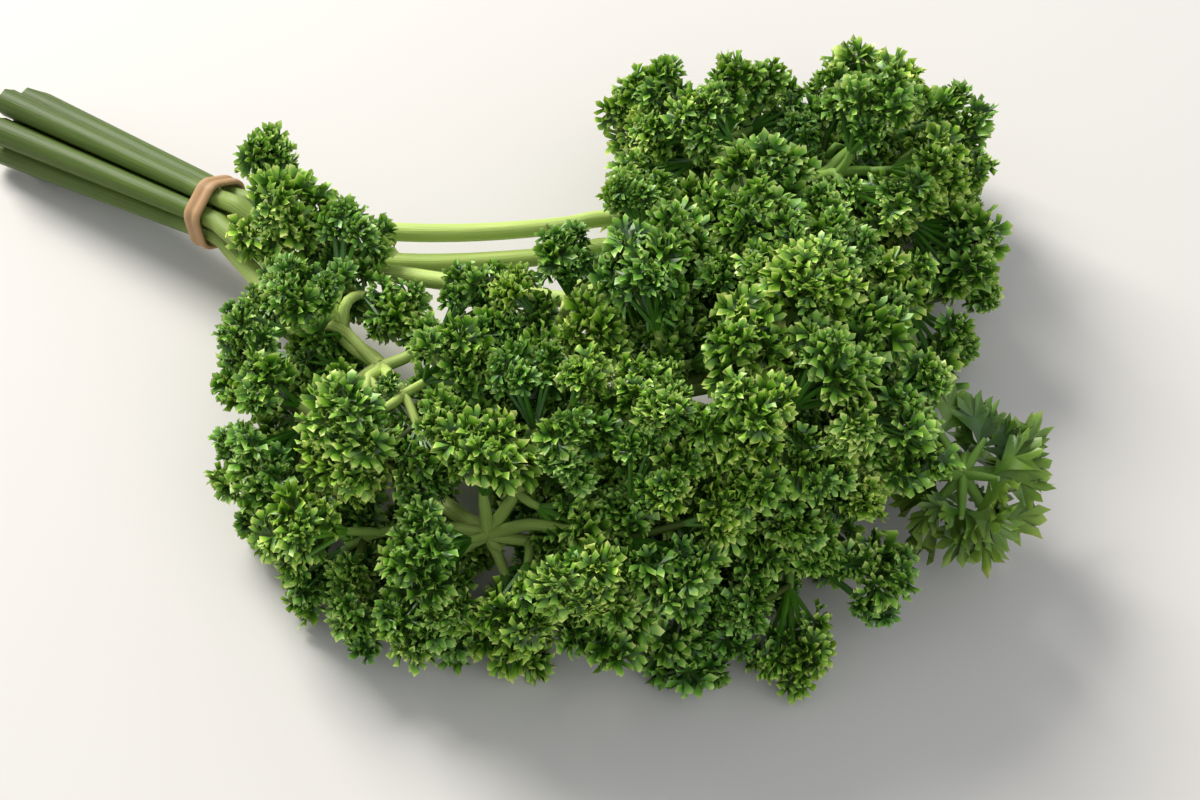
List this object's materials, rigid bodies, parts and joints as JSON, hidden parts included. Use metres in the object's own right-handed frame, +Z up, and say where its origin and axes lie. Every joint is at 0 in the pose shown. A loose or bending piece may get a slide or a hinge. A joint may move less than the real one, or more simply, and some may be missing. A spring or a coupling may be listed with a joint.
{
  "type": "curly parsley bunch",
  "caption": "Small bunch of curly parsley lying on its side, cut stems held by a rubber band, densely ruffled leaves spread over a flat surface.",
  "frame": {"origin": "under the middle of the bunch, on the surface it lies on", "axes": "+X along the bunch from the cut stems towards the leaves, +Y to the far side of the bunch, +Z up"},
  "size_m": [0.228, 0.158, 0.0658],
  "materials": {
    "parsley": "fresh leaves and stems, waxy half gloss, mid green with lighter tips and paler stems",
    "band": "matt tan rubber"
  },
  "bodies": {
    "root": {"frond_back_left": "parsley", "frond_back_right": "parsley", "frond_middle": "parsley", "frond_right": "parsley", "frond_front_left": "parsley", "frond_front": "parsley", "frond_far_right": "parsley", "rubber_band": "band"}
  },
  "joints": []
}
